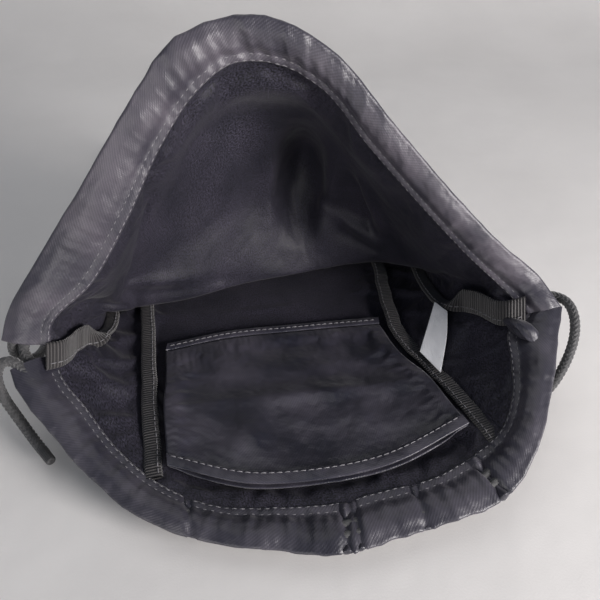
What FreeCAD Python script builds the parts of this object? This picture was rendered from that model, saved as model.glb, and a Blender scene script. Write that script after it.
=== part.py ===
"""Drawstring backpack lying on its front panel, with its mouth held open: one STEP file per piece.

The frame is in millimetres.  +Z is up, the mouth faces -Y and the closed end +Y.  The origin is at the
middle of the bag's footprint, on the surface it lies on.  The front of the bag is sewn from three panels
(middle, left, right) and the back from one.  The back panel stands up like a tent at the mouth.
"""
import FreeCAD, Part
import math
import os
from FreeCAD import Vector

# Cloth, tape and cord sizes
CLOTH = 1.2               # thickness of a panel solid
POCKET_CLOTH = 1.0
LABEL_CLOTH = 0.8
TAPE_WIDTH = 8.0          # folded binding over a seam allowance
TAPE_THICKNESS = 2.0
TAPE_START = 5.0          # distance from the casing's stitch line to the start of a binding
CASING_DEPTH = 9.0        # outside thickness of a casing with its cords in it
CASING_WALL = 0.9
CORD = 5.0                # diameter of the drawcord
CASED_CORD = 4.6          # the same cord where a hem squeezes it
CORD_PITCH = 5.4          # distance between the two cords in one casing
SEAM_GAP = 0.8            # room left between two panels at their shared seam
FLAP_START = 4.0          # distance from the stitch line to the first of the cloth below it
SPLIT_GAP = 0.03          # share of a row left open where the back panel folds
TIP_LENGTH = 9.0
KNOT_RADIUS = 6.5

# Seam lines from the mouth to the closed end
FRONT_SEAM_LEFT = [(-63, -143, 5), (-74, -99, 3), (-81, -66, 2.5), (-94, 0, 2), (-99, 80, 2), (-99, 172, 2)]
FRONT_SEAM_RIGHT = [(99, -124, 10), (85, -86, 5), (66, -47, 3), (60, 20, 2), (56, 90, 2), (52, 172, 2)]
SIDE_SEAM_LEFT = [(-111, -92, 31), (-108, -76, 24), (-105, -48, 9), (-121, 0, 4), (-129, 78, 3),
                  (-124, 172, 3)]
SIDE_SEAM_RIGHT = [(111, -66, 31), (102, -50, 24), (91, -30, 13), (84, 22, 4), (87, 88, 3), (86, 172, 3)]
BOTTOM_EDGE_Y = 172

# Middle front panel: rows from the casing to the closed end, columns from left to right
FRONT_PANEL = [
    [(-63, -142, 5), (-32, -151, 3), (5, -151, 3), (50, -142, 4), (99, -123, 10)],
    [(-74, -99, 3), (-34, -96, 1.4), (5, -94, 1.4), (44, -90, 1.6), (85, -86, 5)],
    [(-81, -66, 2.5), (-42, -58, 0.8), (-6, -54, 0.8), (30, -50, 0.8), (66, -47, 3)],
    [(-94, 0, 2), (-54, 5, 0.6), (-16, 8, 0.6), (22, 12, 0.6), (60, 20, 2)],
    [(-99, 80, 2), (-59, 85, 0.6), (-20, 88, 0.6), (18, 90, 0.6), (56, 90, 2)],
    [(-99, 172, 2), (-60, 173, 0.8), (-22, 174, 0.8), (15, 174, 0.8), (52, 172, 2)],
]

# Back panel below its casing: rows over the tent, down its wall and on to the closed end
BACK_PANEL = [
    [(-112, -74, 31), (-92, -52, 56), (-66, -30, 92), (-28, -2, 120),
     (6, 8, 116), (40, -5, 90), (74, -22, 58), (104, -40, 31)],
    [(-109, -58, 19), (-94, -34, 34), (-66, -14, 50), (-28, 16, 62),
     (8, 28, 60), (42, 20, 46), (70, 4, 32), (94, -20, 21)],
    [(-107, -38, 15), (-90, -20, 14), (-62, -6, 14), (-28, 12, 15),
     (8, 24, 15), (38, 28, 15), (62, 24, 15), (85, 14, 13)],
    [(-116, -8, 11), (-92, 4, 14), (-61, 14, 16), (-27, 28, 17),
     (8, 36, 17), (36, 40, 17), (61, 36, 15), (86, 30, 11)],
    [(-126, 50, 9), (-96, 50, 19), (-60, 50, 24), (-24, 50, 26),
     (8, 50, 26), (34, 50, 24), (60, 50, 19), (87, 50, 9)],
    [(-129, 115, 8), (-96, 116, 17), (-60, 117, 22), (-24, 118, 24),
     (6, 118, 24), (32, 117, 22), (58, 116, 17), (87, 115, 8)],
    [(-123, 171, 7), (-90, 172, 6), (-56, 173, 6), (-20, 174, 6),
     (6, 174, 6), (32, 173, 6), (58, 172, 6), (86, 171, 7)],
]

# Casings: the folded mouth edge and the stitch line that closes the channel, station by station
FRONT_MOUTH_EDGE = [
    (-127, -105, 32), (-108, -124, 20), (-88, -141, 11), (-63, -158, 6), (-35, -168, 4.6), (-5, -172, 4.6),
    (21, -174, 4.6), (46, -167, 4.8), (70, -160, 6), (93, -151, 9), (109, -133, 18), (120, -110, 26),
    (128, -90, 31), (134, -73, 34)]
FRONT_STITCH_LINE = [
    (-110, -98, 27), (-96, -112, 19), (-77, -131, 11), (-57, -145, 7), (-33, -154, 5), (-3, -155, 5),
    (20, -153, 5), (43, -147, 5.5), (64, -142, 7), (82, -133, 10), (98, -122, 15), (107, -105, 21),
    (110, -86, 26), (112, -71, 30)]
BACK_MOUTH_EDGE = [
    (-135, -85, 46), (-112, -74, 79), (-88, -65, 110), (-64, -55, 142), (-46, -48, 163), (-30, -43, 170),
    (-4, -41, 170), (18, -42, 158), (45, -45, 129), (75, -48, 97), (105, -51, 68), (130, -53, 48)]
BACK_STITCH_LINE = [
    (-115, -87, 45), (-92, -76, 66), (-72, -66, 95), (-55, -53, 124), (-37, -46, 146), (-25, -42, 154),
    (-1, -38, 152), (13, -38, 144), (37, -41, 117), (68, -45, 84), (92, -48, 60), (111, -51, 43)]

# Slip pocket on the middle front panel; the first rows lift, the rest is caught in the seams
POCKET_FRONT = [
    [(-54, -137, 10), (-14, -146, 9.5), (6, -145, 9.5), (44, -137, 10), (84, -117, 14)],
    [(-58, -120, 9.5), (-18, -122, 9), (5, -120, 9), (42, -112, 9.5), (78, -101, 12)],
    [(-62, -103, 9), (-22, -98, 8.5), (5, -96, 8.5), (40, -89, 9), (72, -85, 10)],
]
POCKET_REAR = [
    [(-62, -101, 9), (-22, -96, 8.5), (5, -94, 8.5), (40, -87, 9), (72, -83, 10)],
    [(-65, -80, 7), (-28, -73, 6.5), (2, -70, 6.5), (32, -66, 6.5), (59, -62, 7)],
    [(-69, -60, 4.5), (-35, -48, 3.2), (-1, -43, 3.2), (28, -39, 3.2), (51, -38, 4.8)],
]
POCKET_HEM_WIDTH = 6.0
POCKET_HEM_THICKNESS = 1.2

# Care label in the right side seam: sewn edge, then its free end
CARE_LABEL = [
    [(82, -33, 18), (87.5, -42, 18.5)],
    [(77, -46, 14), (84.5, -58, 15.5)],
    [(69.5, -65, 10.5), (78, -80.5, 10.5)],
]

# Cords outside the casings, from the casing end to the far end
LEFT_TAIL_ROUTE = [(-113, -111, 25.6), (-121, -102.8, 30.5), (-126, -98.8, 34.8), (-131, -98, 37.5),
                   (-135, -101, 36.5), (-136, -105, 30.5), (-134, -108, 21.5), (-130.5, -110, 11.5),
                   (-124.5, -115, 3.2), (-116, -123.5, 3)]
LEFT_STRAP_ROUTE = [(-130, -87, 43), (-134, -88, 36), (-135, -84, 25), (-134, -73, 12), (-137, -54, 3.5),
                    (-141, -22, 2.6), (-143, 18, 2.6), (-145, 62, 2.6), (-142, 106, 3), (-136, 140, 5),
                    (-134, 160, 7), (-134, 176, 7)]
RIGHT_STRAP_ROUTE = [(123, -52.5, 41.5), (131, -51, 38), (139, -53, 39), (144, -59, 39), (145, -69, 34.5),
                     (142, -79, 26), (135, -88, 13), (128, -92, 4.5), (119, -80, 2.6), (115, -53, 2.6),
                     (114, -8, 2.6), (112, 42, 2.6), (106, 90, 3), (99, 134, 5), (96, 160, 7), (96, 176, 7)]
LEFT_CROSSING_ROUTE = [(-124, -87.5, 42.5), (-127.5, -89, 37.5), (-126, -92, 33), (-120.5, -95.5, 31.2),
                       (-117, -99.2, 29.4)]
RIGHT_CROSSING_ROUTE = [(128, -57, 42.5), (132, -60, 41.5), (134.5, -64, 39.5), (134.5, -67.5, 37),
                        (132.5, -69, 35)]
LOOP_Z = 7.0              # height of the cord where it passes a corner loop
CORNER_LOOP_LENGTH = 14.0
CORNER_LOOP_WIDTH = 12.0
CORNER_LOOP_HEIGHT = 10.5
CORNER_LOOP_WALL = 1.3


# The pieces are drawn from the middle of the open mouth; this moves them to the frame's own origin
TO_FRAME = Vector(2.5, -3.7, 0.07)


def vectors(points):
    return [Vector(*point) for point in points]


def unit(vector):
    return Vector(vector).normalize()


def share_between(a, b, share):
    return a + (b - a) * share


def grid_normals(grid):
    """The direction across the cloth at each point of a grid, from the points beside it."""
    rows, columns = len(grid), len(grid[0])
    normals = []
    for i in range(rows):
        row = []
        for j in range(columns):
            along = grid[min(i + 1, rows - 1)][j] - grid[max(i - 1, 0)][j]
            across = grid[i][min(j + 1, columns - 1)] - grid[i][max(j - 1, 0)]
            row.append(unit(across.cross(along)))
        normals.append(row)
    return normals


def even_line(points, count):
    """The same smooth line with its points spread evenly along it."""
    curve = Part.BSplineCurve()
    curve.interpolate(points)
    return curve.discretize(count)


def even_grid(grid, rows, columns):
    """The same smooth sheet with its points spread evenly both ways, so that its splines don't overshoot."""
    lengthwise = [even_line(list(column), rows) for column in zip(*grid)]
    return [even_line(list(row), columns) for row in zip(*lengthwise)]


def spline_surface(grid):
    surface = Part.BSplineSurface()
    surface.interpolate(grid)
    return surface


def border_edges(surface):
    u_low, u_high, v_low, v_high = surface.bounds()
    curves = (surface.uIso(u_low), surface.uIso(u_high), surface.vIso(v_low), surface.vIso(v_high))
    return [curve.toShape() for curve in curves]


def closed_solid(faces):
    shell = Part.Shell(faces)
    shell.sewShape()
    solid = Part.Solid(shell)
    if solid.Volume < 0:
        solid.reverse()
    return solid


def cloth(grid, thickness):
    """A smooth sheet through a grid of points, with half its thickness on each side."""
    grid = even_grid(grid, 3 * len(grid) - 2, 3 * len(grid[0]) - 2)
    normals = grid_normals(grid)
    skins = []
    for side in (0.5, -0.5):
        shifted = [[p + n * (side * thickness) for p, n in zip(*rows)] for rows in zip(grid, normals)]
        skins.append(spline_surface(shifted))
    walls = [Part.makeRuledSurface(a, b) for a, b in zip(*map(border_edges, skins))]
    return closed_solid([skin.toShape() for skin in skins] + walls)


def panel(rows, thickness=CLOTH):
    return cloth([vectors(row) for row in rows], thickness)


def side_panel(front_seam, side_seam, columns=4):
    """A panel between a front seam and a side seam, clear of the middle panel by the seam gap."""
    grid = []
    for a, b in zip(vectors(front_seam), vectors(side_seam)):
        start = a + unit(b - a) * SEAM_GAP
        grid.append([share_between(start, b, k / (columns - 1)) for k in range(columns)])
    return cloth(grid, CLOTH)


def seam_tape(line, inward, lift=1.9):
    """A folded binding that lies beside a seam, on its inward side, from just behind the casing."""
    points = vectors(line)
    points[0] += unit(points[1] - points[0]) * TAPE_START
    grid = []
    for point in points:
        near = point + Vector(inward * 0.5, 0, lift)
        middle = near + Vector(inward * TAPE_WIDTH / 2, 0, 0.3)
        grid.append([near, middle, near + Vector(inward * TAPE_WIDTH, 0, 0)])
    return cloth(grid, TAPE_THICKNESS)


def station_frames(mouth_edge, stitch_line):
    """Middle, width direction, thickness direction and width at each station of a casing."""
    mouth, stitch = vectors(mouth_edge), vectors(stitch_line)
    middles = [share_between(a, b, 0.5) for a, b in zip(mouth, stitch)]
    frames = []
    for k, middle in enumerate(middles):
        tangent = unit(middles[min(k + 1, len(middles) - 1)] - middles[max(k - 1, 0)])
        across = stitch[k] - mouth[k]
        if 0 < k < len(middles) - 1:
            across -= tangent * across.dot(tangent)
        frames.append((middle, unit(across), unit(tangent.cross(across)), across.Length))
    return frames


def oval_skin(frames, inset):
    """The side of a flattened tube through the stations, drawn in from the casing's outside by inset."""
    rings = []
    for middle, across, through, width in frames:
        half_width = width / 2 + 1 - inset
        half_depth = CASING_DEPTH / 2 - inset
        ring = []
        for k in range(13):
            angle = math.pi / 6 * k
            ring.append(middle + across * (half_width * math.cos(angle))
                        + through * (half_depth * math.sin(angle)))
        rings.append(ring)
    return spline_surface(even_grid(rings, 2 * len(rings) - 1, 13))


def casing(mouth_edge, stitch_line):
    """A hem folded into a flat tube, open at both ends for its cords."""
    frames = station_frames(mouth_edge, stitch_line)
    outside, channel = oval_skin(frames, 0), oval_skin(frames, CASING_WALL)
    ends = []
    for outer_ring, inner_ring in zip(border_edges(outside)[:2], border_edges(channel)[:2]):
        disc = Part.Face(Part.Wire(outer_ring))
        ends.append(disc.cut(Part.Face(Part.Wire(inner_ring))).Faces[0])
    return closed_solid([outside.toShape(), channel.toShape()] + ends)


def cord_arcs(points):
    """Straight runs joined by tangent arcs; each arc is as large as its two runs allow."""
    edges, radii = [], []
    start = points[0]
    for before, corner, after in zip(points, points[1:], points[2:]):
        back, ahead = unit(before - corner), unit(after - corner)
        turn = math.pi - back.getAngle(ahead)
        trim = 0.45 * min((corner - before).Length, (after - corner).Length)
        radius = trim / math.tan(turn / 2)
        radii.append(radius)
        enter, leave = corner + back * trim, corner + ahead * trim
        middle_way = unit(back + ahead)
        top = corner + middle_way * (radius / math.cos(turn / 2) - radius)
        edges.append(Part.LineSegment(start, enter).toShape())
        edges.append(Part.Arc(enter, top, leave).toShape())
        start = leave
    edges.append(Part.LineSegment(start, points[-1]).toShape())
    return edges, radii


def cord(route, name, diameter=CORD):
    """A round cord along a route; prints its length, tightest radius and volume against section x length."""
    points = vectors(route)
    edges, radii = cord_arcs(points)
    path = Part.Wire(edges)
    circle = Part.Circle(points[0], unit(points[1] - points[0]), diameter / 2)
    tube = path.makePipeShell([Part.Wire(circle.toShape())], True, False)
    ideal = math.pi * (diameter / 2) ** 2 * path.Length
    print(name, "length", round(path.Length, 1), "radii", [round(r, 1) for r in radii],
          "volume ratio", round(tube.Volume / ideal, 4))
    return tube


def cord_in_casing(mouth_edge, stitch_line, side, name, first=0):
    """One of the two cords that lie side by side in a casing, from its first station to the last."""
    frames = station_frames(mouth_edge, stitch_line)[first:]
    route = [middle + across * (side * CORD_PITCH / 2) for middle, across, _, _ in frames]
    return cord(route, name, CASED_CORD)


def cord_tip(route):
    """The sealed end of a free cord: a short plain sleeve past the braid."""
    before, end = vectors(route)[-2:]
    direction = unit(end - before)
    return Part.makeCylinder(CORD / 2, TIP_LENGTH, end, direction)


def knot(route):
    """A stopper knot on the far end of a strap cord, as a plain rounded body."""
    before, end = vectors(route)[-2:]
    direction = unit(end - before)
    ball = Part.makeSphere(KNOT_RADIUS, end + direction * (KNOT_RADIUS - 0.6))
    return ball.cut(Part.makeCylinder(CORD / 2, KNOT_RADIUS, end - direction * KNOT_RADIUS, direction))


def corner_loop(x):
    """A loop of folded tape at a bottom corner; the strap cord passes through it along Y."""
    y = BOTTOM_EDGE_Y - CORNER_LOOP_LENGTH

    def rounded_bar(width, height):
        low_z = LOOP_Z - height / 2
        bar = Part.makeBox(width, CORNER_LOOP_LENGTH, height, Vector(x - width / 2, y, low_z))
        upright = [edge for edge in bar.Edges if abs(edge.Length - CORNER_LOOP_LENGTH) < 1e-6]
        return bar.makeFillet(height * 0.4, upright)

    outer = rounded_bar(CORNER_LOOP_WIDTH, CORNER_LOOP_HEIGHT)
    inner = rounded_bar(CORNER_LOOP_WIDTH - 2 * CORNER_LOOP_WALL, CORNER_LOOP_HEIGHT - 2 * CORNER_LOOP_WALL)
    return outer.cut(inner)


def bottom_binding():
    """The tape that binds the closed end, lying flat on the surface."""
    width, height = 174, 6.5
    bar = Part.makeBox(width, TAPE_WIDTH, height, Vector(-107, BOTTOM_EDGE_Y + 2.5, 0))
    return bar.makeFillet(1.5, [edge for edge in bar.Edges if abs(edge.Length - width) < 1e-6
                                and edge.CenterOfMass.z > height / 2])


def pocket_hem():
    """The double hem along the pocket's opening, on top of the pocket cloth."""
    edge = vectors(POCKET_FRONT[0])
    behind = vectors(POCKET_FRONT[1])
    lift = Vector(0, 0, (POCKET_CLOTH + POCKET_HEM_THICKNESS) / 2 + 0.15)
    grid = [[point + lift, point + unit(back - point) * POCKET_HEM_WIDTH + lift]
            for point, back in zip(edge, behind)]
    return cloth(grid, POCKET_HEM_THICKNESS)


def pocket_bottom_seam():
    edge = vectors(POCKET_REAR[-1])
    grid = [[point + Vector(0, 1.2, -0.6), point + Vector(0, 6.2, -0.6)] for point in edge]
    return cloth(grid, 1.4)


def back_panel_rows():
    """The back panel in two runs of rows: the flap that follows the casing, and the rest."""
    rows = [vectors(row) for row in BACK_PANEL]
    stitches = even_line(vectors(BACK_STITCH_LINE), len(rows[0]))
    first = [a + unit(b - a) * FLAP_START for a, b in zip(stitches, rows[0])]
    halfway = [share_between(a, b, 0.5) for a, b in zip(first, rows[0])]
    past_fold = [share_between(a, b, SPLIT_GAP) for a, b in zip(rows[0], rows[1])]
    return [first, halfway, rows[0]], [past_fold] + rows[1:]


def build_parts():
    flap_rows, body_rows = back_panel_rows()
    return {
        "front_panel": panel(FRONT_PANEL),
        "front_side_panel_left": side_panel(FRONT_SEAM_LEFT, SIDE_SEAM_LEFT),
        "front_side_panel_right": side_panel(FRONT_SEAM_RIGHT, SIDE_SEAM_RIGHT),
        "back_panel": cloth(body_rows, CLOTH),
        "back_panel_flap": cloth(flap_rows, CLOTH),
        "front_casing": casing(FRONT_MOUTH_EDGE, FRONT_STITCH_LINE),
        "back_casing": casing(BACK_MOUTH_EDGE, BACK_STITCH_LINE),
        "front_seam_tape_left": seam_tape(FRONT_SEAM_LEFT, 1),
        "front_seam_tape_right": seam_tape(FRONT_SEAM_RIGHT, -1),
        "side_seam_tape_left": seam_tape(SIDE_SEAM_LEFT[:-1], 1),
        "side_seam_tape_right": seam_tape(SIDE_SEAM_RIGHT[:-1], -1),
        "bottom_seam_tape": bottom_binding(),
        "pocket_front": panel(POCKET_FRONT, POCKET_CLOTH),
        "pocket_rear": panel(POCKET_REAR, POCKET_CLOTH),
        "pocket_hem": pocket_hem(),
        "pocket_bottom_seam": pocket_bottom_seam(),
        "care_label": panel(CARE_LABEL, LABEL_CLOTH),
        "left_cord_in_front_casing": cord_in_casing(FRONT_MOUTH_EDGE, FRONT_STITCH_LINE, -1, "front a", 1),
        "right_cord_in_front_casing": cord_in_casing(FRONT_MOUTH_EDGE, FRONT_STITCH_LINE, 1, "front b"),
        "left_cord_in_back_casing": cord_in_casing(BACK_MOUTH_EDGE, BACK_STITCH_LINE, -1, "back a"),
        "right_cord_in_back_casing": cord_in_casing(BACK_MOUTH_EDGE, BACK_STITCH_LINE, 1, "back b"),
        "left_cord_tail": cord(LEFT_TAIL_ROUTE, "left tail"),
        "left_cord_tip": cord_tip(LEFT_TAIL_ROUTE),
        "left_cord_strap": cord(LEFT_STRAP_ROUTE, "left strap"),
        "right_cord_strap": cord(RIGHT_STRAP_ROUTE, "right strap"),
        "left_corner_crossing": cord(LEFT_CROSSING_ROUTE, "left crossing"),
        "right_corner_crossing": cord(RIGHT_CROSSING_ROUTE, "right crossing"),
        "left_strap_knot": knot(LEFT_STRAP_ROUTE),
        "right_strap_knot": knot(RIGHT_STRAP_ROUTE),
        "bottom_corner_loop_left": corner_loop(LEFT_STRAP_ROUTE[-1][0]),
        "bottom_corner_loop_right": corner_loop(RIGHT_STRAP_ROUTE[-1][0]),
    }


def main():
    os.makedirs("parts", exist_ok=True)
    for name, shape in build_parts().items():
        shape.translate(TO_FRAME)
        box = shape.BoundBox
        print(f"{name:28s} valid {shape.isValid()} solids {len(shape.Solids)} volume {shape.Volume:9.1f}",
              f"x {box.XMin:.1f}..{box.XMax:.1f} y {box.YMin:.1f}..{box.YMax:.1f}",
              f"z {box.ZMin:.1f}..{box.ZMax:.1f}")
        shape.exportStep(f"parts/{name}.step")


main()
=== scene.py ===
"""Looks of the drawstring backpack, around its CAD frame."""
import math

import bpy
import numpy as np
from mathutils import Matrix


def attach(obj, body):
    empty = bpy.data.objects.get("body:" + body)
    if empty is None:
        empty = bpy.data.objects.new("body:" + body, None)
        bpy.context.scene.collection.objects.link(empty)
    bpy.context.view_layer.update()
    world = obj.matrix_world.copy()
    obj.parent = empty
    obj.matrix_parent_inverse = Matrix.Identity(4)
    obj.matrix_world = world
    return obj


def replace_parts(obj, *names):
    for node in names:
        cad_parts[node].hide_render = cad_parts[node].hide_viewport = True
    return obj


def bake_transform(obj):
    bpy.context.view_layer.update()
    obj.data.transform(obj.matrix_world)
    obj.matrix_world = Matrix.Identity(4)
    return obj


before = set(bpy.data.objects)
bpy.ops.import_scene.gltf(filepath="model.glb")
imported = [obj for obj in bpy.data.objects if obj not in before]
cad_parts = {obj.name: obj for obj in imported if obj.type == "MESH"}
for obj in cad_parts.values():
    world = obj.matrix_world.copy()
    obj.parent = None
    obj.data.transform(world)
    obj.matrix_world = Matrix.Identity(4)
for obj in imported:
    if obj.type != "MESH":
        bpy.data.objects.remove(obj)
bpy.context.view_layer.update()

MM = 0.001
# The outlines below are drawn in millimetres from the middle of the open mouth, as the CAD's are.
# This is the step from there to the frame's origin.
TO_FRAME = np.array([2.5, -3.7, 0.07])
CORD = 5.0                # diameter of the drawcord
TAPE_WIDTH = 8.0          # folded binding over a seam
CLOTH = 0.5               # thickness of the nylon as it shows
FLOOR = 0.5               # lowest height of the middle of a sheet
TAPE_THICKNESS = 1.9
BOTTOM_THICKNESS = 6.2    # of the binding over the closed end
RIBBON = 0.45             # thickness of the care label's ribbon
STITCH = 2.9              # length of one stitch
STITCH_PITCH = 3.5
THREAD_RADIUS = 0.25
SHEET_STEP = 2.4          # spacing of a sheet's points, and of the points of the finer pieces
POCKET_STEP = 1.8
HEM_STEP = 1.1
LABEL_STEP = 0.9
TAPE_STEP = 0.75
CORD_STEP = 0.4

# Seams from the mouth to the closed end
FRONT_SEAM_LEFT = [(-63, -143, 5), (-74, -99, 3), (-81, -66, 2.5), (-94, 0, 2), (-99, 80, 2), (-99, 176, 2)]
FRONT_SEAM_RIGHT = [(99, -124, 10), (85, -86, 5), (66, -47, 3), (60, 20, 2), (56, 90, 2), (52, 176, 2)]
SIDE_SEAM_LEFT = [(-115, -95, 33), (-111, -92, 31), (-108, -76, 24), (-105, -48, 9), (-121, 0, 4),
                  (-129, 78, 3), (-129, 172, 3)]
SIDE_SEAM_RIGHT = [(119, -67.5, 35.5), (111, -66, 31), (102, -50, 24), (91, -30, 13), (84, 22, 4),
                   (87, 88, 3), (91, 172, 3)]
BOTTOM_SEAM = [(-127, 174.5, 4), (-107, 178, 3.4), (-20, 178.5, 3.4), (68, 178, 3.4), (89, 174.5, 4)]

# Middle front panel, in rows from the casing to the closed end
FRONT_PANEL = [
    [(-63, -142, 5), (-32, -151, 3), (5, -151, 3), (50, -142, 4), (99, -123, 10)],
    [(-74, -99, 3), (-34, -96, 1.4), (5, -94, 1.4), (44, -90, 1.6), (85, -86, 5)],
    [(-81, -66, 2.5), (-42, -58, 0.8), (-6, -54, 0.8), (30, -50, 0.8), (66, -47, 3)],
    [(-94, 0, 2), (-54, 5, 0.6), (-16, 8, 0.6), (22, 12, 0.6), (60, 20, 2)],
    [(-99, 80, 2), (-59, 85, 0.6), (-20, 88, 0.6), (18, 90, 0.6), (56, 90, 2)],
    [(-99, 176, 2), (-60, 178, 1.4), (-22, 178, 1.4), (15, 178, 1.4), (52, 176, 2)],
]

# Back panel below its casing: over the tent, down its wall and on to the closed end
BACK_PANEL = [
    [(-112, -74, 31), (-92, -52, 56), (-66, -30, 92), (-28, -2, 120),
     (6, 8, 116), (40, -5, 90), (74, -22, 58), (104, -40, 31)],
    [(-109, -58, 19), (-94, -34, 34), (-66, -14, 50), (-28, 16, 62),
     (8, 28, 60), (42, 20, 46), (70, 4, 32), (94, -20, 21)],
    [(-107, -38, 13), (-90, -25, 11), (-62, -13, 9.5), (-28, 4, 9.5),
     (8, 15, 9.5), (38, 21, 11), (62, 21, 13), (85, 13, 12)],
    [(-116, -8, 11), (-92, 1, 13), (-61, 9, 14), (-27, 21, 15),
     (8, 30, 15), (36, 35, 15), (61, 34, 14), (86, 29, 11)],
    [(-126, 50, 9), (-96, 50, 19), (-60, 50, 24), (-24, 50, 26),
     (8, 50, 26), (34, 50, 24), (60, 50, 19), (87, 50, 9)],
    [(-129, 115, 8), (-96, 116, 17), (-60, 117, 22), (-24, 118, 24),
     (6, 118, 24), (32, 117, 22), (58, 116, 17), (87, 115, 8)],
    [(-128, 171, 7), (-108, 177, 5.6), (-56, 178, 5.4), (-20, 178, 5.4),
     (6, 178, 5.4), (32, 178, 5.4), (70, 177, 5.6), (90, 171, 7)],
]

# Casings: the folded mouth edge and the stitch line that closes the channel.  Their cloth runs on a
# little past the CAD's ends, so that the two hems close round the cords at each corner.
FRONT_MOUTH_EDGE = [
    (-129, -101, 34), (-127, -105, 32), (-108, -124, 20), (-88, -141, 11), (-63, -158, 6), (-35, -168, 4.6),
    (-5, -172, 4.6), (21, -174, 4.6), (46, -167, 4.8), (70, -160, 6), (93, -151, 9), (109, -133, 18),
    (120, -110, 26), (128, -90, 31), (134, -73, 34), (138.5, -61.5, 38.5)]
FRONT_STITCH_LINE = [
    (-114, -88, 31.5), (-110, -98, 27), (-96, -112, 19), (-77, -131, 11), (-57, -145, 7), (-33, -154, 5),
    (-3, -155, 5), (20, -153, 5), (43, -147, 5.5), (64, -142, 7), (82, -133, 10), (98, -122, 15),
    (107, -105, 21), (110, -86, 26), (112, -71, 30), (122.5, -62.5, 35)]
BACK_MOUTH_EDGE = [
    (-135.6, -88.5, 41), (-134, -84, 47), (-112, -74, 79), (-88, -65, 110), (-64, -55, 142),
    (-46, -48, 163), (-30, -43, 170), (-4, -41, 170), (18, -42, 158), (45, -45, 129), (75, -48, 97),
    (105, -51, 68), (126, -53, 51), (137, -62.5, 39.5)]
BACK_STITCH_LINE = [
    (-115, -88.5, 38), (-113, -86, 47), (-92, -76, 66), (-72, -66, 95), (-55, -53, 124), (-37, -46, 146),
    (-25, -42, 154), (-1, -38, 152), (13, -38, 144), (37, -41, 117), (68, -45, 84), (92, -48, 60),
    (111, -51, 43), (122.5, -63, 35.3)]

# Slip pocket: from its opening, over the fold where it lifts, to the seam behind it
POCKET = [
    [(-54, -137, 10), (-14, -146, 9.5), (6, -145, 9.5), (44, -137, 10), (84, -117, 14)],
    [(-58, -120, 9.5), (-18, -122, 9), (5, -120, 9), (42, -112, 9.5), (78, -101, 12)],
    [(-62, -102, 9), (-22, -97, 8.5), (5, -95, 8.5), (40, -88, 9), (72, -84, 10)],
    [(-65, -80, 7), (-28, -73, 6.5), (2, -70, 6.5), (32, -66, 6.5), (59, -62, 7)],
    [(-69, -60, 4.5), (-35, -48, 3.2), (-1, -43, 3.2), (28, -39, 3.2), (51, -38, 4.8)],
]

CARE_LABEL = [
    [(82, -33, 18), (87.5, -42, 18.5)],
    [(77, -46, 14), (84.5, -58, 15.5)],
    [(69.5, -65, 10.5), (78, -80.5, 10.5)],
]

# The spare end of the front hem, rolled into the right corner
CORNER_TUCK = [(110, -65, 33), (114.5, -70, 34), (119.5, -75.5, 33.5), (123, -80, 31)]

# Cords outside the casings
LEFT_TAIL_ROUTE = [(-113, -111, 25.6), (-121, -102.8, 30.5), (-126, -98.8, 34.8), (-131, -98, 37.5),
                   (-135, -101, 36.5), (-136, -105, 30.5), (-134, -108, 21.5), (-130.5, -110, 11.5),
                   (-124.5, -115, 3.2), (-116, -123.5, 3)]
LEFT_STRAP_ROUTE = [(-130, -87, 43), (-134, -88, 36), (-135, -84, 25), (-134, -73, 12), (-137, -54, 3.5),
                    (-141, -22, 2.6), (-143, 18, 2.6), (-145, 62, 2.6), (-142, 106, 3), (-136, 140, 5),
                    (-134, 160, 7), (-134, 176, 7)]
RIGHT_STRAP_ROUTE = [(123, -52.5, 41.5), (131, -51, 38), (139, -53, 39), (144, -59, 39), (145, -69, 34.5),
                     (142, -79, 26), (135, -88, 13), (128, -92, 4.5), (119, -80, 2.6), (115, -53, 2.6),
                     (114, -8, 2.6), (112, 42, 2.6), (106, 90, 3), (99, 134, 5), (96, 160, 7), (96, 176, 7)]
LEFT_CROSSING_ROUTE = [(-124, -87.5, 42.5), (-127.5, -89, 37.5), (-126, -92, 33), (-120.5, -95.5, 31.2),
                       (-117, -99.2, 29.4)]
RIGHT_CROSSING_ROUTE = [(125, -55, 41.5), (128, -58.5, 39), (130, -62.5, 36), (129.5, -67.5, 34),
                        (127, -71, 32.5)]
LEFT_STRAP_LENGTH = 0.288
RIGHT_STRAP_LENGTH = 0.348

CAMERA_PLACE = (5.0, -290.0, 235.0)
CAMERA_TILT = 50.0        # degrees up from straight down
CAMERA_LENS = 35.3


# --- Camera ---

def add_camera():
    """Looking steeply down into the mouth, from just in front of it."""
    data = bpy.data.cameras.new("camera")
    data.sensor_width = 36.0
    data.lens = CAMERA_LENS
    camera = add_object("camera", data)
    camera.location = in_frame(CAMERA_PLACE)
    camera.rotation_euler = (math.radians(CAMERA_TILT), 0.0, 0.0)
    bpy.context.scene.camera = camera


# --- Points, lines and sheets ---

def in_frame(points):
    """Points of the drawing, in the frame's metres."""
    return (np.asarray(points, float) + TO_FRAME) * MM


def arc_lengths(points):
    """How far along a line each of its points is."""
    return np.concatenate([[0.0], np.cumsum(np.linalg.norm(np.diff(points, axis=0), axis=1))])


def read_off(places, known, values):
    """The points or directions at places along a line, from the values at its known places."""
    return np.stack([np.interp(places, known, values[:, axis]) for axis in range(3)], axis=-1)


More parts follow.
